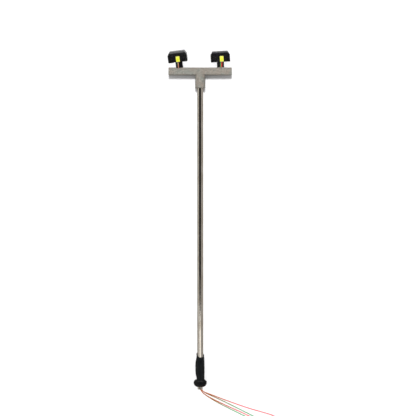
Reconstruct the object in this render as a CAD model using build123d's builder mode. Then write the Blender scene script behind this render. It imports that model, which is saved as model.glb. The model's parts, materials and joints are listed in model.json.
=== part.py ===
from build123d import *
import math
import os

# Twin-head model railway mast, lying on its back as it is packed and handled. Millimetres.
# X runs along the crossarm, Y up the mast from the foot, Z away from the surface it lies on.
# The origin is on the mast's axis, at the lower face of the foot collar.

os.makedirs("parts", exist_ok=True)

# --- driving dimensions -------------------------------------------------------------------
# mast tube
TUBE_R = 1.0
TUBE_BORE_R = 0.7
STUB_R = 0.84
STUB_LENGTH = 0.9
TUBE_TOP = 105.2

# foot: rubber collar and heat-shrunk sleeve
COLLAR_R = 2.25
COLLAR_BULGE_Y = 1.4
COLLAR_HEIGHT = 2.4
COLLAR_FOOT_R = 1.3
COLLAR_TOP_R = 1.4
SLEEVE_CUT_Y = 10.65
SLEEVE_CUT_BACK = 32.0
SLEEVE_CUT_SIDE = 8.0
# height up the mast, sideways offset of the centre, outer radius
SLEEVE_RINGS = [
    (COLLAR_HEIGHT, 0.08, 1.37),
    (3.3, 0.07, 1.39),
    (4.6, -0.06, 1.53),
    (6.3, -0.08, 1.56),
    (7.9, -0.08, 1.55),
    (9.0, -0.03, 1.44),
    (10.2, 0.04, 1.30),
    (12.8, 0.06, 1.14),
]

# crossarm and its socket for the tube
ARM_LEFT = -10.73
ARM_RIGHT = 10.70
ARM_BOTTOM = 105.47
ARM_TOP = 107.96
ARM_DEPTH = 2.4
ARM_ROUND = 0.3
SOCKET_R = 1.7
SOCKET_BOTTOM = 101.1
SOCKET_TOP = 107.5
SOCKET_ROUND = 0.9
ARM_BORE_R = 0.8
CHANNEL_WIDTH = 1.3
CHANNEL_FRONT = 0.4
CHANNEL_HALF_LENGTH = 7.9
CHANNEL_Y = (ARM_BOTTOM + ARM_TOP) / 2
PIT_X = -9.65
PIT_Y = 107.05
PIT_R = 0.3

# swivel seats in the arm, and the pegs that turn in them
SEAT_Y = 107.88
SEAT_R = 1.56
BOSS_R = 1.5
BOSS_FOOT_R = 1.18
BOSS_HEIGHT = 0.6
PEG_R = 0.95
PEG_LENGTH = 0.8
PEG_CLEARANCE = 0.03
POCKET_DEPTH = 1.8

# stem and lamp housing
STEM_HALF_WIDTH = 1.18
STEM_BACK = -0.85
STEM_FRONT = 0.39
STEM_LENGTH = 3.1
HOUSING_WIDTH = 6.5
HOUSING_HEIGHT = 3.6
HOUSING_DEPTH = 3.2
HOUSING_REACH = 4.0
SHOULDER_WIDTH = 0.7
SHOULDER_HEIGHT = 1.15
BROW_HEIGHT = 0.5
BROW_DEPTH = 0.8
RECESS_DEPTH = 0.65
RECESS_HALF_WIDTH = 2.75
RECESS_BOTTOM = -1.4
RECESS_TOP = 0.95
NOTCH_HALF_WIDTH = 1.3

# surface-mount lamp chip
LED_WIDTH = 1.25
LED_LENGTH = 2.0
LED_BASE_THICK = 0.3
LED_LENS_LENGTH = 1.8
LED_LENS_THICK = 0.4
LED_Y = -0.75
LED_CAP = 0.2
SOLDER_R = 0.17
JOINT_PITCH = 0.42

# wire
WIRE_D = 0.3
WIRE_R = WIRE_D / 2
WIRE_PITCH = 0.34
EXIT_ANGLE = 25.0
EXIT_RUN = 1.265
FEED_LEFT_X = -0.45
FEED_BEND_R = 1.1

# leads wound up beyond the foot
FLOOR_Z = -COLLAR_R
TIE_THICK = 0.1
COIL_X = 20.5
COIL_Y = -18.5
COIL_OUTER_R = 5.75
COIL_INNER_R = 3.75
COIL_LAYER = 0.34
TIE_ANGLE = 215.0
TIE_WIDTH = 1.5
TIE_SLACK = 0.1
TIP_ANGLE = 60.0
TIP_STEP = 24.0
TIP_TURN = 38.0
TIP_R = 0.16
TIP_LENGTH = 2.0


def save(piece, name):
    """Label a finished piece and write its STEP file."""
    piece.part.label = name
    export_step(piece.part, f"parts/{name}.step")


def across_mast(y, x=0.0):
    """A plane square to the mast at height y, its normal pointing up the mast."""
    return Plane(origin=(x, y, 0), x_dir=(1, 0, 0), z_dir=(0, 1, 0))


def bend_radii(points, largest=100.0):
    """Radius for each inner corner: 0.45 of its shorter run over the tangent of half the turn."""
    corners = [Vector(p) for p in points]
    radii = []
    for before, corner, after in zip(corners, corners[1:], corners[2:]):
        run_in = corner - before
        run_out = after - corner
        half_turn = math.radians(run_in.get_angle(run_out)) / 2
        shorter = min(run_in.length, run_out.length)
        radii.append(min(largest, 0.45 * shorter / math.tan(half_turn)))
    return radii


def wire_along(points, name, largest=100.0):
    """Sweep one round wire along straight runs joined by tangent arcs, and report its bends."""
    radii = bend_radii(points, largest)
    with BuildPart() as wire:
        with BuildLine() as route:
            FilletPolyline(*points, radius=radii)
        with BuildSketch(Plane(origin=route.line @ 0, z_dir=route.line % 0)):
            Circle(WIRE_R)
        sweep()
    length = sum(edge.length for edge in route.edges())
    volume_ratio = wire.part.volume / (math.pi * WIRE_R**2 * length)
    print(
        name,
        "length",
        round(length, 2),
        "radii",
        [round(r, 2) for r in radii],
        "volume over section times length",
        round(volume_ratio, 4),
    )
    save(wire, name)


# --- heads: where each one stands, and how it was turned when it was fitted ----------------
# side, foot's place along the arm, lean to the side, lean forward, swivel, housing's own
# droop, tilt and sideways shift on the stem, lamp chip's shift, the wires' groove in the stem
# (left and right), then both wires on the stem's front as (sideways place below the chip,
# sideways place at the foot, height up the stem where the wire meets its front, distance
# in front of the swivel axis)
HEADS = {
    "left": {
        "foot_x": -6.96,
        "side_lean": 7.0,
        "forward_lean": 5.0,
        "swivel": -4.0,
        "droop": 12.0,
        "tilt": -0.3,
        "shift": -0.25,
        "chip_x": 0.1,
        "groove": (-0.62, -0.10),
        "red": (-0.25, -0.30, 1.05, 0.71),
        "green": (-0.35, -0.30, 1.45, 0.37),
    },
    "right": {
        "foot_x": 6.93,
        "side_lean": 2.5,
        "forward_lean": -5.0,
        "swivel": 0.8,
        "droop": 16.0,
        "tilt": 1.0,
        "shift": 0.0,
        "chip_x": 0.44,
        "groove": (-0.26, 0.62),
        "red": (0.42, 0.30, 1.05, 0.57),
        "green": (0.00, -0.06, 1.05, 0.57),
    },
}


def stem_frame(head):
    """The stem's own frame: y up the stem, z to its front, origin on the seat."""
    place = Location((head["foot_x"], SEAT_Y, 0))
    side = Location((0, 0, 0), (0, 0, head["side_lean"]))
    turn = Location((0, 0, 0), (head["forward_lean"], head["swivel"], 0))
    return Plane(place * side * turn)


def seat_plane(head, height=0.0):
    """A plane square to the swivel axis; its normal points down into the arm, its y forward."""
    frame = stem_frame(head)
    origin = frame.origin + frame.y_dir * height
    return Plane(origin=origin, x_dir=frame.x_dir, z_dir=frame.y_dir * -1)


def housing_frame(head):
    """The housing's own frame: centred in it, z out of its front."""
    on_stem = Location((head["shift"], HOUSING_REACH, 0))
    set_at = Location((0, 0, 0), (0, 0, head["tilt"]))
    droop = Location((0, 0, 0), (head["droop"], 0, 0))
    return Plane(Location(stem_frame(head)) * on_stem * set_at * droop)


# --- mast tube -----------------------------------------------------------------------------
with BuildPart() as mast_tube:
    with BuildSketch(across_mast(0)):
        Circle(TUBE_R)
        Circle(TUBE_BORE_R, mode=Mode.SUBTRACT)
    extrude(amount=TUBE_TOP)
    with BuildSketch(across_mast(-STUB_LENGTH)):
        Circle(STUB_R)
        Circle(TUBE_BORE_R, mode=Mode.SUBTRACT)
    extrude(amount=STUB_LENGTH)
save(mast_tube, "mast_tube")

# --- foot collar ---------------------------------------------------------------------------
with BuildPart() as foot_collar:
    with BuildSketch(Plane.XY):
        with BuildLine():
            widest = (COLLAR_R, COLLAR_BULGE_Y)
            Line((TUBE_R, 0), (COLLAR_FOOT_R, 0))
            TangentArc(widest, (COLLAR_FOOT_R, 0), tangent=(0, -1))
            TangentArc(widest, (COLLAR_TOP_R, COLLAR_HEIGHT), tangent=(0, 1))
            Line((COLLAR_TOP_R, COLLAR_HEIGHT), (TUBE_R, COLLAR_HEIGHT))
            Line((TUBE_R, COLLAR_HEIGHT), (TUBE_R, 0))
        make_face()
    revolve(axis=Axis.Y)
save(foot_collar, "foot_collar")

# --- foot sleeve: shrunk round the tube, cut off on a slant --------------------------------
cut_place = Location((0, SLEEVE_CUT_Y, 0), (90 + SLEEVE_CUT_BACK, 0, 0))
cut_plane = Plane(cut_place * Location((0, 0, 0), (0, -SLEEVE_CUT_SIDE, 0)))
with BuildPart() as foot_sleeve:
    for ring_y, ring_x, ring_r in SLEEVE_RINGS:
        with BuildSketch(across_mast(ring_y, ring_x)):
            Circle(ring_r)
    loft()
    with BuildSketch(across_mast(0)):
        Circle(TUBE_R)
    extrude(amount=TUBE_TOP, mode=Mode.SUBTRACT)
    split(bisect_by=cut_plane, keep=Keep.TOP)
save(foot_sleeve, "foot_sleeve")

# --- crossarm: moulded bar with a socket below and a wire channel open at the back ---------
with BuildPart() as crossarm:
    with BuildSketch(Plane.YZ.offset(ARM_LEFT)):
        with Locations((CHANNEL_Y, 0)):
            RectangleRounded(ARM_TOP - ARM_BOTTOM, ARM_DEPTH, ARM_ROUND)
    extrude(amount=ARM_RIGHT - ARM_LEFT)
    end_faces = crossarm.faces().filter_by(Axis.X)
    fillet(end_faces.edges(), radius=0.15)
    with BuildSketch(across_mast(SOCKET_BOTTOM)):
        Circle(SOCKET_R)
    extrude(amount=ARM_BOTTOM - SOCKET_BOTTOM + 0.6)
    with BuildSketch(Plane.XY):
        with BuildLine():
            Line((0, ARM_BOTTOM + 0.6), (SOCKET_R, ARM_BOTTOM + 0.6))
            Line((SOCKET_R, ARM_BOTTOM + 0.6), (SOCKET_R, SOCKET_TOP - SOCKET_ROUND))
            RadiusArc(
                (SOCKET_R, SOCKET_TOP - SOCKET_ROUND),
                (SOCKET_R - SOCKET_ROUND, SOCKET_TOP),
                -SOCKET_ROUND,
            )
            Line((SOCKET_R - SOCKET_ROUND, SOCKET_TOP), (0, SOCKET_TOP))
            Line((0, SOCKET_TOP), (0, ARM_BOTTOM + 0.6))
        make_face()
    revolve(axis=Axis.Y)
    for head in HEADS.values():
        # boss, tapering into the arm's faces
        with BuildSketch(seat_plane(head)):
            Circle(BOSS_R)
        with BuildSketch(seat_plane(head, -BOSS_HEIGHT)):
            Circle(BOSS_FOOT_R)
        loft()
    for head in HEADS.values():
        # level seat for the stem, and the pocket for its peg
        with BuildSketch(seat_plane(head)):
            Circle(SEAT_R)
        extrude(amount=-1.0, mode=Mode.SUBTRACT)
        with BuildSketch(seat_plane(head)):
            Circle(PEG_R + PEG_CLEARANCE)
        extrude(amount=POCKET_DEPTH, mode=Mode.SUBTRACT)
    # wire channel
    with BuildSketch(Plane.XY.offset(CHANNEL_FRONT)):
        with Locations((0, CHANNEL_Y)):
            Rectangle(2 * CHANNEL_HALF_LENGTH, CHANNEL_WIDTH)
    extrude(amount=-3.0, mode=Mode.SUBTRACT)
    # tube socket, stepped down to the wires' way up into the channel
    with BuildSketch(across_mast(SOCKET_BOTTOM)):
        Circle(TUBE_R)
    extrude(amount=TUBE_TOP - SOCKET_BOTTOM, mode=Mode.SUBTRACT)
    with BuildSketch(across_mast(TUBE_TOP)):
        Circle(ARM_BORE_R)
    extrude(amount=CHANNEL_Y - TUBE_TOP, mode=Mode.SUBTRACT)
    # moulding pit near the left end
    with Locations((PIT_X, PIT_Y, ARM_DEPTH / 2 + 0.1)):
        Sphere(PIT_R, mode=Mode.SUBTRACT)
save(crossarm, "crossarm")


# --- heads ----------------------------------------------------------------------------------
for side, head in HEADS.items():
    stem = stem_frame(head)
    lamp = housing_frame(head)
    wire_low = min(head[colour][3] for colour in ("red", "green")) - WIRE_R - 0.02
    groove_left, groove_right = head["groove"]

    # stem with its peg; a groove lets the wires past the peg
    with BuildPart() as stem_piece:
        with BuildSketch(seat_plane(head, PEG_CLEARANCE)):
            with Locations((0, (STEM_BACK + STEM_FRONT) / 2)):
                RectangleRounded(2 * STEM_HALF_WIDTH, STEM_FRONT - STEM_BACK, 0.15)
        extrude(amount=-STEM_LENGTH)
        with BuildSketch(seat_plane(head, PEG_CLEARANCE)):
            Circle(PEG_R)
        extrude(amount=PEG_LENGTH)
        with BuildSketch(seat_plane(head, STEM_LENGTH)):
            with Locations(((groove_left + groove_right) / 2, wire_low + 1.0)):
                Rectangle(groove_right - groove_left, 2.0)
        extrude(amount=STEM_LENGTH + PEG_LENGTH + 0.2, mode=Mode.SUBTRACT)
    save(stem_piece, f"{side}_stem")

    # housing: hipped block, hollowed at the front, slotted over the stem's top
    half_w = HOUSING_WIDTH / 2
    half_h = HOUSING_HEIGHT / 2
    front = HOUSING_DEPTH / 2
    recess_floor = front - RECESS_DEPTH
    lamp_side = Plane(origin=lamp.origin, x_dir=lamp.y_dir, z_dir=lamp.x_dir)
    with BuildPart() as housing:
        with BuildSketch(lamp.offset(-front)):
            with BuildLine():
                Polyline(
                    (-half_w, -half_h),
                    (half_w, -half_h),
                    (half_w, half_h - SHOULDER_HEIGHT),
                    (half_w - SHOULDER_WIDTH, half_h),
                    (-half_w + SHOULDER_WIDTH, half_h),
                    (-half_w, half_h - SHOULDER_HEIGHT),
                    close=True,
                )
            make_face()
        extrude(amount=HOUSING_DEPTH)
        # brow: the top front edge is sloped back
        with BuildSketch(lamp_side.offset(-half_w)):
            with BuildLine():
                Polyline(
                    (half_h - BROW_HEIGHT, front),
                    (half_h + 0.01, front - BROW_DEPTH),
                    (half_h + 0.01, front),
                    close=True,
                )
            make_face()
        extrude(amount=HOUSING_WIDTH, mode=Mode.SUBTRACT)
        fillet(housing.edges(), radius=0.13)
        # recess with sloping walls, open at the bottom where the chip's wires leave
        with BuildSketch(lamp.offset(front)):
            with Locations((0, (RECESS_TOP + RECESS_BOTTOM) / 2)):
                RectangleRounded(2 * RECESS_HALF_WIDTH, RECESS_TOP - RECESS_BOTTOM, 0.3)
        extrude(amount=-RECESS_DEPTH, taper=12, mode=Mode.SUBTRACT)
        with BuildSketch(lamp.offset(front)):
            with Locations((0, (-half_h + RECESS_TOP) / 2 - 0.7)):
                Rectangle(2 * NOTCH_HALF_WIDTH, half_h + RECESS_TOP - 0.8)
        extrude(amount=-RECESS_DEPTH, mode=Mode.SUBTRACT)
        add(stem_piece.part, mode=Mode.SUBTRACT)
    save(housing, f"{side}_housing")

    # lamp chip: carrier, metal end caps, phosphor block, solder at both ends
    chip = (head["chip_x"], LED_Y)
    carrier_length = LED_LENGTH - 2 * LED_CAP
    cap_offset = (LED_LENGTH - LED_CAP) / 2
    with BuildPart() as led_base:
        with BuildSketch(lamp.offset(recess_floor)):
            with Locations(chip):
                Rectangle(LED_WIDTH, carrier_length)
        extrude(amount=LED_BASE_THICK)
    save(led_base, f"{side}_led_base")

    with BuildPart() as led_terminals:
        with BuildSketch(lamp.offset(recess_floor)):
            with Locations((chip[0], chip[1] + cap_offset), (chip[0], chip[1] - cap_offset)):
                Rectangle(LED_WIDTH, LED_CAP)
        extrude(amount=LED_BASE_THICK)
    save(led_terminals, f"{side}_led_terminals")

    with BuildPart() as led_phosphor:
        with BuildSketch(lamp.offset(recess_floor + LED_BASE_THICK)):
            with Locations(chip):
                RectangleRounded(LED_WIDTH, LED_LENS_LENGTH, 0.1)
        extrude(amount=LED_LENS_THICK)
        lens_top = led_phosphor.faces().sort_by(Axis(lamp.origin, lamp.z_dir))[-1]
        fillet(lens_top.edges(), radius=0.08)
    save(led_phosphor, f"{side}_led_phosphor")

    # two blobs of solder at the chip's lower end, and the wires from there past the peg
    joint_y = chip[1] - LED_LENGTH / 2 - SOLDER_R * 0.7
    joint_z = recess_floor + SOLDER_R + 0.02
    joints = {
        "red": lamp.from_local_coords((chip[0], joint_y, joint_z)),
        "green": lamp.from_local_coords((chip[0] - JOINT_PITCH, joint_y, joint_z)),
    }
    with BuildPart() as led_solder:
        with Locations(*joints.values()):
            Sphere(SOLDER_R)
    save(led_solder, f"{side}_led_solder")

    wire_end = -(PEG_LENGTH + 0.1)
    for colour, joint in joints.items():
        top_x, foot_x, meets_y, wire_z = head[colour]
        wire_along(
            [
                joint,
                stem.from_local_coords((top_x, meets_y, wire_z)),
                stem.from_local_coords((foot_x, 0.25, wire_z)),
                stem.from_local_coords((foot_x, wire_end, wire_z)),
            ],
            f"{side}_wire_{colour}",
        )


# --- wires held in the arm and the mast -------------------------------------------------------
def feed_wire(name, start_points, row_x, row_z):
    """One wire from below a peg, along the arm's channel, down the tube and out at its foot."""
    bend_y = EXIT_RUN - STUB_LENGTH
    exit_x = row_x + EXIT_RUN * math.tan(math.radians(EXIT_ANGLE))
    held = [
        (row_x, CHANNEL_Y, row_z),
        (row_x, bend_y, row_z),
        (exit_x, -STUB_LENGTH, row_z),
    ]
    wire_along(start_points + held, name, largest=FEED_BEND_R)


# places below each peg, in the stem's own frame
PEG_SIDE = {
    "left_feed_red": [(-0.30, -1.0, 0.71), (-0.26, -1.32, 0.62), (0.35, -1.40, 0.36)],
    "left_feed_green": [(-0.30, -1.0, 0.37), (-0.26, -1.32, 0.28), (0.35, -1.40, 0.02)],
    "right_feed_red": [(0.30, -1.0, 0.57), (0.26, -1.50, 0.50), (-0.35, -1.58, 0.22)],
    "right_feed_green": [(-0.06, -1.0, 0.57), (-0.08, -1.25, 0.50), (-0.55, -1.28, 0.05)],
}
ROWS = {
    "left_feed_red": (FEED_LEFT_X, WIRE_PITCH / 2),
    "left_feed_green": (FEED_LEFT_X, -WIRE_PITCH / 2),
    "right_feed_red": (FEED_LEFT_X + WIRE_PITCH, WIRE_PITCH / 2),
    "right_feed_green": (FEED_LEFT_X + WIRE_PITCH, -WIRE_PITCH / 2),
}
for name, places in PEG_SIDE.items():
    side = name.split("_")[0]
    head = HEADS[side]
    row_x, row_z = ROWS[name]
    inward = 1 if side == "left" else -1
    entry = (head["foot_x"] + inward * 1.7, CHANNEL_Y, row_z)
    below_peg = [stem_frame(head).from_local_coords(place) for place in places]
    feed_wire(name, below_peg + [entry], row_x, row_z)

# --- free leads: out of the tube's foot, down to the surface and on to their coils -------------
LEADS = {
    "left_lead_red": [
        (0.14, -0.90, 0.17),
        (0.499, -1.670, 0.17),
        (1.45, -2.58, 0.0),
        (3.40, -3.84, -0.45),
        (6.60, -5.60, -1.25),
        (10.6, -7.58, -1.95),
        (15.4, -9.72, -2.05),
        (19.4, -11.8, -1.66),
        (22.86, -13.43, -1.64),
    ],
    "left_lead_green": [
        (0.14, -0.90, -0.17),
        (0.499, -1.670, -0.17),
        (1.38, -2.66, -0.36),
        (3.25, -4.02, -0.85),
        (6.35, -5.98, -1.68),
        (10.1, -7.93, -2.08),
        (14.3, -10.0, -2.10),
        (18.4, -11.95, -2.00),
        (22.23, -13.18, -1.98),
    ],
    "right_lead_red": [
        (0.48, -0.90, 0.17),
        (0.712, -1.398, 0.17),
        (1.52, -1.92, 0.02),
        (3.25, -2.62, -0.40),
        (6.30, -3.93, -1.15),
        (11.0, -5.82, -2.00),
        (16.2, -7.68, -2.10),
        (21.4, -9.12, -2.08),
        (25.6, -10.4, -2.10),
        (27.75, -12.6, -1.70),
        (27.2, -16.6, -1.00),
        (25.79, -20.32, -0.96),
    ],
    "right_lead_green": [
        (0.48, -0.90, -0.17),
        (0.712, -1.398, -0.17),
        (1.48, -2.02, -0.33),
        (3.10, -2.90, -0.75),
        (5.75, -4.20, -1.45),
        (9.30, -6.02, -2.08),
        (13.9, -8.30, -2.10),
        (18.2, -10.45, -1.90),
        (21.3, -12.15, -1.34),
        (24.09, -14.22, -1.30),
    ],
}
for name, points in LEADS.items():
    wire_along(points, name)

# --- coils: one flat coil to a lead, stacked, each a closed ring --------------------------------
COIL_ORDER = ["left_coil_green", "left_coil_red", "right_coil_green", "right_coil_red"]
for layer, name in enumerate(COIL_ORDER):
    coil_bottom = FLOOR_Z + TIE_THICK + layer * COIL_LAYER
    with BuildPart() as coil:
        with BuildSketch(Plane.XY.offset(coil_bottom)):
            with Locations((COIL_X, COIL_Y)):
                Circle(COIL_OUTER_R)
                Circle(COIL_INNER_R, mode=Mode.SUBTRACT)
        extrude(amount=COIL_LAYER)
    save(coil, name)

# tie: a flat band right round the stacked coils
coils_top = FLOOR_Z + TIE_THICK + len(COIL_ORDER) * COIL_LAYER
tie_frame = Plane(
    Location((COIL_X, COIL_Y, 0), (0, 0, TIE_ANGLE)) * Location((0, -TIE_WIDTH / 2, 0), (90, 0, 0))
)
with BuildPart() as coil_tie:
    with BuildSketch(tie_frame):
        mid_r = (COIL_INNER_R + COIL_OUTER_R) / 2
        mid_z = (FLOOR_Z + TIE_THICK + coils_top) / 2
        span_r = COIL_OUTER_R - COIL_INNER_R + 2 * TIE_SLACK
        span_z = coils_top - FLOOR_Z - TIE_THICK
        with Locations((mid_r - TIE_SLACK / 2, mid_z)):
            RectangleRounded(span_r + 2 * TIE_THICK, span_z + 2 * TIE_THICK, 0.18)
            RectangleRounded(span_r, span_z, 0.08, mode=Mode.SUBTRACT)
    extrude(amount=-TIE_WIDTH)
save(coil_tie, "coil_tie")

# tinned ends: each lead's bare end turns in from its coil
with BuildPart() as lead_tips:
    for layer in range(len(COIL_ORDER)):
        angle = TIP_ANGLE + layer * TIP_STEP
        around = Location((COIL_X, COIL_Y, coils_top - (layer + 0.5) * COIL_LAYER), (0, 0, angle))
        inward = Location((COIL_INNER_R + 0.05, 0, 0), (0, 0, -90 - TIP_TURN))
        tip_frame = Plane(around * inward)
        with BuildSketch(Plane(origin=tip_frame.origin, z_dir=tip_frame.x_dir)):
            Circle(TIP_R)
        extrude(amount=TIP_LENGTH)
save(lead_tips, "lead_tips")
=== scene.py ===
import json
import math

import bpy
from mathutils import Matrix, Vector


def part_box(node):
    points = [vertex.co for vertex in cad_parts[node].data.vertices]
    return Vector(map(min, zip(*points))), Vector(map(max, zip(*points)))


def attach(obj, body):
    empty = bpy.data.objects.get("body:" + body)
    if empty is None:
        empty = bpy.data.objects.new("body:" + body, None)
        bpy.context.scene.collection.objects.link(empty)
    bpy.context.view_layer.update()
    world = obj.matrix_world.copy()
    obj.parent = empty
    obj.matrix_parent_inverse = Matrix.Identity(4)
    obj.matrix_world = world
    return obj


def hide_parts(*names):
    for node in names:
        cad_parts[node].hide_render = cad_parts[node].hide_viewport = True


# Looks for the twin-head model railway mast. The mast's sizes and routes are in millimetres and
# are multiplied by MM, because the frame is in metres. The room, its cards and its lamps are in
# metres.
MM = 0.001

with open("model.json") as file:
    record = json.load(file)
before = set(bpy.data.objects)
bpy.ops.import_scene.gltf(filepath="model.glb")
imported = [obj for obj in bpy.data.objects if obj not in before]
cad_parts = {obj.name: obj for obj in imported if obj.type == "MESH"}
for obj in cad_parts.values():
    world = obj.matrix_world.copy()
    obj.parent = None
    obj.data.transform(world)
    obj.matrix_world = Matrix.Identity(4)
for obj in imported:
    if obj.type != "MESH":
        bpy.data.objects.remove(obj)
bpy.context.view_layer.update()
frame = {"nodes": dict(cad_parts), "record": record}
nodes = frame["nodes"]

# the mast lies on its collar
FLOOR_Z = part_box("foot_collar")[0].z


# --- camera: straight above the middle of the photographed field -----------------------------
CAMERA_HEIGHT = 350.0
FIELD_WIDTH = 140.9
FIELD_CENTRE = (2.64, 60.48)
SENSOR_WIDTH = 36.0
NEAREST_SEEN = 10.0
FARTHEST_SEEN = 10000.0


def make_camera():
    """A camera that looks down and takes in the field's width at the mast's height."""
    data = bpy.data.cameras.new("photo_camera")
    data.sensor_width = SENSOR_WIDTH
    data.lens = SENSOR_WIDTH * CAMERA_HEIGHT / FIELD_WIDTH
    data.clip_start = NEAREST_SEEN * MM
    data.clip_end = FARTHEST_SEEN * MM
    camera = bpy.data.objects.new("photo_camera", data)
    camera.location = (FIELD_CENTRE[0] * MM, FIELD_CENTRE[1] * MM, CAMERA_HEIGHT * MM)
    bpy.context.scene.collection.objects.link(camera)
    bpy.context.scene.camera = camera


make_camera()


# --- leads: four wires out of the tube's foot, each wound into its own flat coil ----------------
WIRE_D = 0.3
COIL_CENTRE = (20.5, -18.5)
OUTER_TURN_R = 5.59
INNER_TURN_R = 3.90
TURNS = 5
POINTS_PER_TURN = 16
TIP_START_R = 3.80
# degrees that the tip leans inward from its turn, and degrees of turn left free before it
TIP_LEAN = 38.0
TIP_APPROACH = 25.0
# the last two points, measured along the tip from its start
LAST_POINTS = (-0.7, 0.25)

# route from the tube's foot to the outer turn, the angle at which it joins that turn, and the
# angle of the tinned tip that it ends in
LEADS = {
    "left_lead_red": {
        "route": [
            (0.14, -0.90, 0.17),
            (0.499, -1.670, 0.17),
            (1.45, -2.58, 0.0),
            (3.40, -3.84, -0.45),
            (6.60, -5.60, -1.25),
            (10.6, -7.58, -1.95),
            (15.4, -9.72, -2.05),
            (19.4, -11.8, -1.66),
            (22.86, -13.43, -1.64),
        ],
        "joins": 65.0,
        "tip": 108.0,
    },
    "left_lead_green": {
        "route": [
            (0.14, -0.90, -0.17),
            (0.499, -1.670, -0.17),
            (1.38, -2.66, -0.36),
            (3.25, -4.02, -0.85),
            (6.35, -5.98, -1.68),
            (10.1, -7.93, -2.08),
            (14.3, -10.0, -2.10),
            (18.4, -11.95, -2.00),
            (22.23, -13.18, -1.98),
        ],
        "joins": 72.0,
        "tip": 132.0,
    },
    "right_lead_red": {
        "route": [
            (0.48, -0.90, 0.17),
            (0.712, -1.398, 0.17),
            (1.52, -1.92, 0.02),
            (3.25, -2.62, -0.40),
            (6.30, -3.93, -1.15),
            (11.0, -5.82, -2.00),
            (16.2, -7.68, -2.10),
            (21.4, -9.12, -2.08),
            (25.6, -10.4, -2.10),
            (27.75, -12.6, -1.70),
            (27.2, -16.6, -1.00),
            (25.79, -20.32, -0.96),
        ],
        "joins": -19.0,
        "tip": 60.0,
    },
    "right_lead_green": {
        "route": [
            (0.48, -0.90, -0.17),
            (0.712, -1.398, -0.17),
            (1.48, -2.02, -0.33),
            (3.10, -2.90, -0.75),
            (5.75, -4.20, -1.45),
            (9.30, -6.02, -2.08),
            (13.9, -8.30, -2.10),
            (18.2, -10.45, -1.90),
            (21.3, -12.15, -1.34),
            (24.09, -14.22, -1.30),
        ],
        "joins": 50.0,
        "tip": 84.0,
    },
}


def around_coil(radius, angle, height):
    """A point at an angle, in radians, about the coils' centre."""
    return (
        COIL_CENTRE[0] + radius * math.cos(angle),
        COIL_CENTRE[1] + radius * math.sin(angle),
        height,
    )


def coil_points(joins, tip, height):
    """Clockwise turns from the outer one inward, then the short run into the tip."""
    sweep = 360.0 * TURNS - (tip - joins)
    step = 360.0 / POINTS_PER_TURN
    count = int((sweep - TIP_APPROACH) // step)
    # a curve of this order cuts the corners of its points, so the points stand out by as much
    stand_out = 1 / math.cos(math.radians(step / 2)) - 1
    points = []
    for i in range(1, count + 1):
        radius = OUTER_TURN_R + (INNER_TURN_R - OUTER_TURN_R) * (i * step / sweep)
        swell = 1 + stand_out * min(1.0, i / 2)
        points.append(around_coil(radius * swell, math.radians(joins - i * step), height))
    start_x, start_y, _ = around_coil(TIP_START_R, math.radians(tip), height)
    heading = math.radians(tip - 90 - TIP_LEAN)
    for along in LAST_POINTS:
        points.append(
            (start_x + along * math.cos(heading), start_y + along * math.sin(heading), height)
        )
    return points


def make_lead(name, lead):
    """One wire as a single smooth curve, from the tube's foot to its tinned tip.
    The points' radius is the wire's, because Blender widens a curve's box by that radius."""
    route = lead["route"]
    points = route + coil_points(lead["joins"], lead["tip"], route[-1][2])
    curve = bpy.data.curves.new(name + "_wire", "CURVE")
    curve.dimensions = "3D"
    curve.bevel_depth = 1.0
    curve.bevel_resolution = 4
    curve.resolution_u = 8
    curve.use_fill_caps = True
    spline = curve.splines.new("NURBS")
    spline.points.add(len(points) - 1)
    for slot, point in zip(spline.points, points):
        slot.co = (point[0] * MM, point[1] * MM, point[2] * MM, 1.0)
        slot.radius = WIRE_D / 2 * MM
    spline.order_u = 3
    spline.use_endpoint_u = True
    wire = bpy.data.objects.new(name + "_wire", curve)
    bpy.context.scene.collection.objects.link(wire)
    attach(wire, "mast")
    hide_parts(name, name.replace("_lead_", "_coil_"))
    return wire


wires = {name: make_lead(name, lead) for name, lead in LEADS.items()}


# --- building blocks of the materials and the world -------------------------------------------
# Each takes its owner first: the material or world whose nodes it adds to.
COAT_ROUGHNESS = 0.12


def new_material(name, colour, roughness, metallic=0.0, specular=0.5, coat=0.0):
    """A material with its plain values set on the shader itself."""
    material = bpy.data.materials.new(name)
    material.use_nodes = True
    shader = material.node_tree.nodes["Principled BSDF"]
    shader.inputs["Base Color"].default_value = (*colour, 1.0)
    shader.inputs["Roughness"].default_value = roughness
    shader.inputs["Metallic"].default_value = metallic
    shader.inputs["Specular IOR Level"].default_value = specular
    shader.inputs["Coat Weight"].default_value = coat
    shader.inputs["Coat Roughness"].default_value = COAT_ROUGHNESS
    return material


def feed(owner, socket_name, output):
    """An output led into one of the shader's inputs."""
    shader = owner.node_tree.nodes["Principled BSDF"]
    owner.node_tree.links.new(output, shader.inputs[socket_name])


def place_mm(owner, stretch=(1, 1, 1)):
    """Object coordinates in millimetres, multiplied by stretch along the axes."""
    tree = owner.node_tree
    coordinates = tree.nodes.new("ShaderNodeTexCoord")
    mapping = tree.nodes.new("ShaderNodeMapping")
    mapping.inputs["Scale"].default_value = [s / MM for s in stretch]
    tree.links.new(coordinates.outputs["Object"], mapping.inputs["Vector"])
    return mapping.outputs["Vector"]


def noise(owner, scale, detail=3.0, stretch=(1, 1, 1), distortion=0.0):
    """Noise with about scale features to the millimetre; a stretch below 1 draws it out."""
    tree = owner.node_tree
    texture = tree.nodes.new("ShaderNodeTexNoise")
    texture.inputs["Scale"].default_value = scale
    texture.inputs["Detail"].default_value = detail
    texture.inputs["Distortion"].default_value = distortion
    tree.links.new(place_mm(owner, stretch), texture.inputs["Vector"])
    return texture.outputs["Fac"]


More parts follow.
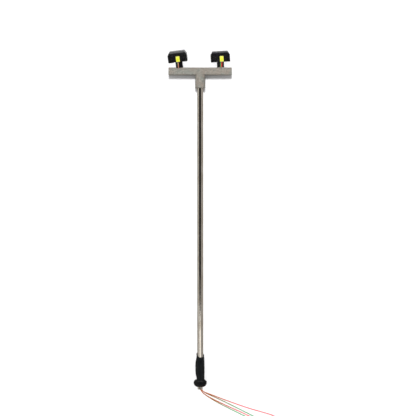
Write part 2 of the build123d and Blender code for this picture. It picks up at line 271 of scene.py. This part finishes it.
def ramp(owner, factor, stops):
    """Colours along a factor: stops are (position, colour)."""
    tree = owner.node_tree
    node = tree.nodes.new("ShaderNodeValToRGB")
    elements = node.color_ramp.elements
    while len(elements) < len(stops):
        elements.new(0.5)
    for element, (position, colour) in zip(elements, stops):
        element.position = position
        element.color = (*colour, 1.0)
    tree.links.new(factor, node.inputs["Fac"])
    return node.outputs["Color"]


def span(owner, factor, low, high, from_low=0.3, from_high=0.7):
    """A factor moved from one range to another; a noise's own range is about 0.3 to 0.7."""
    tree = owner.node_tree
    node = tree.nodes.new("ShaderNodeMapRange")
    node.inputs["From Min"].default_value = from_low
    node.inputs["From Max"].default_value = from_high
    node.inputs["To Min"].default_value = low
    node.inputs["To Max"].default_value = high
    tree.links.new(factor, node.inputs["Value"])
    return node.outputs["Result"]


def multiply(owner, first, second):
    """Two colours multiplied."""
    tree = owner.node_tree
    node = tree.nodes.new("ShaderNodeMix")
    node.data_type = "RGBA"
    node.blend_type = "MULTIPLY"
    node.inputs["Factor"].default_value = 1.0
    tree.links.new(first, node.inputs["A"])
    tree.links.new(second, node.inputs["B"])
    return node.outputs["Result"]


def bump(owner, height, depth_mm, under=None):
    """Bump of a stated depth, laid over another bump if there is one."""
    tree = owner.node_tree
    node = tree.nodes.new("ShaderNodeBump")
    node.inputs["Strength"].default_value = 1.0
    node.inputs["Distance"].default_value = depth_mm * MM
    tree.links.new(height, node.inputs["Height"])
    if under is not None:
        tree.links.new(under, node.inputs["Normal"])
    feed(owner, "Normal", node.outputs["Normal"])
    return node.outputs["Normal"]


# --- materials, one function each ----------------------------------------------------------------
def nickel():
    """Drawn nickel tube: long faint streaks, fine draw lines and a few dull patches."""
    m = new_material("nickel_tube", (0.78, 0.72, 0.64), 0.12, metallic=1.0)
    shader = m.node_tree.nodes["Principled BSDF"]
    shader.inputs["Specular Tint"].default_value = (0.45, 0.42, 0.38, 1.0)
    streaks = noise(m, 1.6, 4, stretch=(1, 0.06, 1))
    tarnish = noise(m, 0.22, 5, distortion=0.6)
    body = ramp(m, streaks, [(0.30, (0.76, 0.70, 0.60)), (0.62, (0.92, 0.85, 0.75))])
    dull = ramp(m, tarnish, [(0.40, (1, 1, 1)), (0.72, (0.80, 0.76, 0.70))])
    feed(m, "Base Color", multiply(m, body, dull))
    feed(m, "Roughness", span(m, tarnish, 0.07, 0.15))
    draw_lines = noise(m, 14, 2, stretch=(1, 0.02, 1))
    bump(m, draw_lines, 0.0008)
    return m


def moulded_plastic():
    """Grey moulded arm: mottled, with greener and browner patches and a pebbled skin."""
    m = new_material("arm_plastic", (0.21, 0.20, 0.18), 0.62, specular=0.35)
    mottle = noise(m, 2.4, 4, distortion=0.4)
    patches = noise(m, 0.55, 3)
    dark, middle, light = (0.160, 0.157, 0.145), (0.232, 0.219, 0.196), (0.335, 0.320, 0.290)
    grey = ramp(m, mottle, [(0.30, dark), (0.50, middle), (0.72, light)])
    tint = ramp(m, patches, [(0.36, (0.93, 0.99, 0.97)), (0.62, (1.04, 0.97, 0.92))])
    feed(m, "Base Color", multiply(m, grey, tint))
    feed(m, "Roughness", span(m, mottle, 0.5, 0.72))
    pebble = bump(m, noise(m, 5.5, 3), 0.035)
    bump(m, noise(m, 1.3, 2), 0.06, under=pebble)
    return m


def sleeve_rubber():
    """Heat-shrunk sleeve: near black, drawn into faint lengthwise folds, with painted shade
    darkening the folds' troughs and a painted highlight lightening their crests.
    """
    m = new_material("sleeve_rubber", (0.011, 0.013, 0.014), 0.42, specular=0.2)
    folds_and_fold_shade = noise(m, 1.5, 3, stretch=(1, 0.22, 1), distortion=0.3)
    # painted shade and painted highlight: the base colour follows the folds, darker in their
    # troughs and lighter on their crests
    body = ramp(m, folds_and_fold_shade, [(0.32, (0.002, 0.0025, 0.003)), (0.68, (0.009, 0.011, 0.012))])
    feed(m, "Base Color", body)
    feed(m, "Roughness", span(m, noise(m, 3.0, 3), 0.34, 0.55))
    wide = bump(m, folds_and_fold_shade, 0.12)
    bump(m, noise(m, 7.0, 2, stretch=(1, 0.5, 1)), 0.02, under=wide)
    return m


def collar_rubber():
    """Collar at the foot: the blackest piece, smoother than the sleeve, a little lumpy."""
    m = new_material("collar_rubber", (0.006, 0.006, 0.007), 0.26, specular=0.2)
    lumps = noise(m, 1.1, 3)
    body = ramp(m, lumps, [(0.3, (0.0015, 0.0015, 0.002)), (0.7, (0.006, 0.006, 0.0065))])
    feed(m, "Base Color", body)
    feed(m, "Roughness", span(m, lumps, 0.2, 0.38))
    bump(m, noise(m, 2.2, 3), 0.05)
    return m


def head_plastic():
    """Brush-painted black: glossy, slightly uneven, with thin spots of violet and olive."""
    m = new_material("head_plastic", (0.006, 0.005, 0.006), 0.3, specular=0.5)
    patches = noise(m, 0.9, 4, distortion=0.5)
    violet, black, olive = (0.0060, 0.0045, 0.009), (0.0015, 0.0015, 0.002), (0.007, 0.007, 0.004)
    feed(m, "Base Color", ramp(m, patches, [(0.32, violet), (0.5, black), (0.7, olive)]))
    feed(m, "Roughness", span(m, noise(m, 2.6, 3), 0.22, 0.42))
    brushed = bump(m, noise(m, 2.0, 3, stretch=(0.4, 1, 1)), 0.05)
    bump(m, noise(m, 9.0, 2), 0.008, under=brushed)
    return m


def phosphor():
    """Yellow lamp chip: greener and deeper over the die, paler at the rim."""
    m = new_material("led_phosphor", (0.86, 0.88, 0.09), 0.32, coat=0.25)
    tree = m.node_tree
    coordinates = tree.nodes.new("ShaderNodeTexCoord")
    from_middle = tree.nodes.new("ShaderNodeVectorMath")
    from_middle.operation = "DISTANCE"
    from_middle.inputs[1].default_value = (0.5, 0.5, 0.5)
    tree.links.new(coordinates.outputs["Generated"], from_middle.inputs[0])
    die, middle, rim = (0.55, 0.62, 0.01), (0.76, 0.80, 0.02), (0.86, 0.86, 0.16)
    rings = ramp(m, from_middle.outputs["Value"], [(0.10, die), (0.24, middle), (0.62, rim)])
    speckle = ramp(m, noise(m, 9.0, 2), [(0.35, (0.86, 0.86, 0.86)), (0.65, (1, 1, 1))])
    feed(m, "Base Color", multiply(m, rings, speckle))
    shader = tree.nodes["Principled BSDF"]
    shader.inputs["Subsurface Weight"].default_value = 0.25
    shader.inputs["Subsurface Scale"].default_value = 0.3 * MM
    shader.inputs["Subsurface Radius"].default_value = (1.0, 0.9, 0.2)
    bump(m, noise(m, 14.0, 2), 0.006)
    return m


def chip_ceramic():
    """The lamp chip's base: off-white, finely grained."""
    m = new_material("led_ceramic", (0.74, 0.73, 0.68), 0.45)
    grain = noise(m, 8.0, 2)
    feed(m, "Base Color", ramp(m, grain, [(0.3, (0.66, 0.65, 0.60)), (0.7, (0.80, 0.79, 0.74))]))
    bump(m, grain, 0.006)
    return m


def plated_metal(name, light, dark, roughness, lumps):
    """Terminals and solder: dull and bright patches, about lumps of them to the millimetre."""
    m = new_material(name, light, roughness, metallic=1.0)
    patches = noise(m, lumps, 3)
    feed(m, "Base Color", ramp(m, patches, [(0.3, dark), (0.7, light)]))
    feed(m, "Roughness", span(m, patches, roughness * 0.7, roughness * 1.3))
    bump(m, noise(m, lumps * 2, 2), 0.02)
    return m


# a wire's colours change along its distance from the foot, in shares of this length
FOOT_TO_HEADS = 120.0


def wire_skin(name, exit_colour, lead_colour, head_colour, scuffed):
    """Thin insulation, with small scuffs: one colour where it leaves the foot, paler along the
    lead, another up at the head."""
    m = new_material(name, lead_colour, 0.36, specular=0.5)
    tree = m.node_tree
    from_foot = tree.nodes.new("ShaderNodeVectorMath")
    from_foot.operation = "LENGTH"
    tree.links.new(place_mm(m), from_foot.inputs[0])
    share = span(m, from_foot.outputs["Value"], 0.0, 1.0, 0.0, FOOT_TO_HEADS)
    body = ramp(
        m,
        share,
        [(0.05, exit_colour), (0.13, lead_colour), (0.50, lead_colour), (0.80, head_colour)],
    )
    scuffs = noise(m, 5.0, 3)
    worn = ramp(m, scuffs, [(0.30, scuffed), (0.52, (1, 1, 1))])
    feed(m, "Base Color", multiply(m, body, worn))
    feed(m, "Roughness", span(m, scuffs, 0.3, 0.5))
    bump(m, noise(m, 10.0, 2), 0.008)
    return m


def paper():
    """Paper band round the coils: white, dull, with fibres along it."""
    m = new_material("paper_tie", (0.80, 0.79, 0.76), 0.8, specular=0.2)
    fibres = noise(m, 6.0, 4, stretch=(1, 0.4, 1))
    feed(m, "Base Color", ramp(m, fibres, [(0.3, (0.72, 0.71, 0.68)), (0.7, (0.86, 0.85, 0.82))]))
    bump(m, fibres, 0.01)
    return m


def surface_paper():
    """The surface below the mast: white, dull and almost even."""
    m = new_material("paper_floor", (0.86, 0.86, 0.87), 0.9, specular=0.1)
    clouds = noise(m, 0.1, 2)
    feed(m, "Base Color", ramp(m, clouds, [(0.3, (0.85, 0.85, 0.86)), (0.7, (0.88, 0.88, 0.88))]))
    return m


# each material by its slot in the record
MATERIALS = {
    "nickel_tube": nickel(),
    "arm_plastic": moulded_plastic(),
    "sleeve_rubber": sleeve_rubber(),
    "collar_rubber": collar_rubber(),
    "head_plastic": head_plastic(),
    "led_ceramic": chip_ceramic(),
    "led_phosphor": phosphor(),
    "led_metal": plated_metal(
        "led_metal", light=(0.72, 0.70, 0.66), dark=(0.52, 0.50, 0.46), roughness=0.28, lumps=6.0
    ),
    "solder_metal": plated_metal(
        "solder_metal", light=(0.66, 0.66, 0.65), dark=(0.44, 0.44, 0.43), roughness=0.34, lumps=5.0
    ),
    "red_wire": wire_skin(
        "red_wire",
        exit_colour=(0.46, 0.095, 0.002),
        lead_colour=(0.80, 0.08, 0.11),
        head_colour=(0.72, 0.07, 0.05),
        scuffed=(0.8, 0.65, 0.6),
    ),
    "green_wire": wire_skin(
        "green_wire",
        exit_colour=(0.25, 0.115, 0.002),
        lead_colour=(0.10, 0.42, 0.17),
        head_colour=(0.13, 0.30, 0.09),
        scuffed=(0.7, 0.75, 0.6),
    ),
    "copper_wire": wire_skin(
        "copper_wire",
        exit_colour=(0.50, 0.21, 0.13),
        lead_colour=(0.50, 0.21, 0.13),
        head_colour=(0.52, 0.24, 0.16),
        scuffed=(0.7, 0.6, 0.5),
    ),
    "paper_tie": paper(),
}


def dress_cad_nodes():
    """Every CAD node gets the material of its slot in the record."""
    for row in frame["record"]["subparts"]:
        node = nodes[row["node"]]
        node.data.materials.clear()
        node.data.materials.append(MATERIALS[row["material_slot"]])
        for face in node.data.polygons:
            face.material_index = 0


dress_cad_nodes()
for name, wire in wires.items():
    wire.data.materials.append(MATERIALS[name.split("_")[-1] + "_wire"])


# --- surface and light, in metres ---------------------------------------------------------------
FLOOR_SIZE = 6.0
MAST_MIDDLE = Vector((0.0, 0.06, 0.0))
CARD_HEIGHT = 0.52
SURFACE_CARD_LIFT = 0.00005


def make_floor():
    """The sheet that the mast lies on."""
    bpy.ops.mesh.primitive_plane_add(size=FLOOR_SIZE, location=(0, 0, FLOOR_Z))
    floor = bpy.context.object
    floor.name = "paper_floor"
    floor.data.materials.append(surface_paper())


def make_card(name, location, size, shade):
    """A level card that only mirror-like surfaces see."""
    bpy.ops.mesh.primitive_plane_add(size=1.0, location=location)
    card = bpy.context.object
    card.name = name
    card.scale = (*size, 1.0)
    warm_grey = (shade, shade * 0.97, shade * 0.93)
    card.data.materials.append(new_material(name, warm_grey, 0.9, specular=0.0))
    card.visible_shadow = False
    card.visible_diffuse = False
    card.visible_camera = False


def make_area(name, location, size, energy, mirrored):
    """A lamp aimed at the mast's middle. One that is mirrored only makes highlights, and one
    that isn't only lights what it falls on."""
    data = bpy.data.lights.new(name, "AREA")
    data.shape = "ELLIPSE"
    data.size, data.size_y = size
    data.energy = energy
    lamp = bpy.data.objects.new(name, data)
    lamp.location = location
    aim = MAST_MIDDLE - Vector(location)
    lamp.rotation_euler = aim.to_track_quat("-Z", "Y").to_euler()
    lamp.visible_glossy = mirrored
    lamp.visible_diffuse = not mirrored
    bpy.context.scene.collection.objects.link(lamp)
    return lamp


def shade_only_from_arm(lamp):
    """In the photo only the crossarm throws a shadow on the paper."""
    spared = bpy.data.collections.new("without_shadow")
    for name, node in nodes.items():
        if name != "crossarm":
            spared.objects.link(node)
    for wire in wires.values():
        spared.objects.link(wire)
    lamp.light_linking.blocker_collection = spared
    for link in spared.collection_objects:
        link.light_linking.link_state = "EXCLUDE"


def make_world():
    """Soft room: dimmer towards the horizon and on the right."""
    world = bpy.data.worlds.new("studio")
    bpy.context.scene.world = world
    world.use_nodes = True
    tree = world.node_tree
    coordinates = tree.nodes.new("ShaderNodeTexCoord")
    parts = tree.nodes.new("ShaderNodeSeparateXYZ")
    tree.links.new(coordinates.outputs["Generated"], parts.inputs["Vector"])
    horizon, ceiling = (0.42, 0.412, 0.40), (0.58, 0.58, 0.58)
    heights = ramp(world, parts.outputs["Z"], [(0.02, horizon), (0.55, ceiling)])
    left, right = (1.0, 1.0, 1.0), (0.66, 0.65, 0.66)
    sides = ramp(world, parts.outputs["X"], [(0.0, left), (0.5, right)])
    background = tree.nodes["Background"]
    tree.links.new(multiply(world, heights, sides), background.inputs["Color"])
    background.inputs["Strength"].default_value = 1.0


make_floor()
# the dark that the tube mirrors as a line down its middle
make_card("overhead_card", location=(-0.14, 0.14, CARD_HEIGHT), size=(1.0, 0.34), shade=0.01)
# the dark that the heads' faces mirror
make_card("head_card", location=(-0.14, -0.20, CARD_HEIGHT), size=(1.0, 0.22), shade=0.01)
# the surface as the tube's flanks mirror it, darker than the white paper
make_card(
    "surface_card", location=(0.0, 0.014, FLOOR_Z + SURFACE_CARD_LIFT), size=(0.5, 0.19), shade=0.25
)
key = make_area("key", (0.0, 0.42, 0.92), (0.22, 0.22), energy=9.5, mirrored=False)
shade_only_from_arm(key)
# the highlight on the heads' tops, and the bright line on the tube near the foot
make_area("brow_strip", (0.0, 1.1, 0.12), (1.8, 0.30), energy=5.0, mirrored=True)
make_area("foot_softbox", (0.0, -0.057, 0.52), (0.30, 0.055), energy=0.042, mirrored=True)
make_world()
bpy.context.scene.view_settings.view_transform = "Standard"
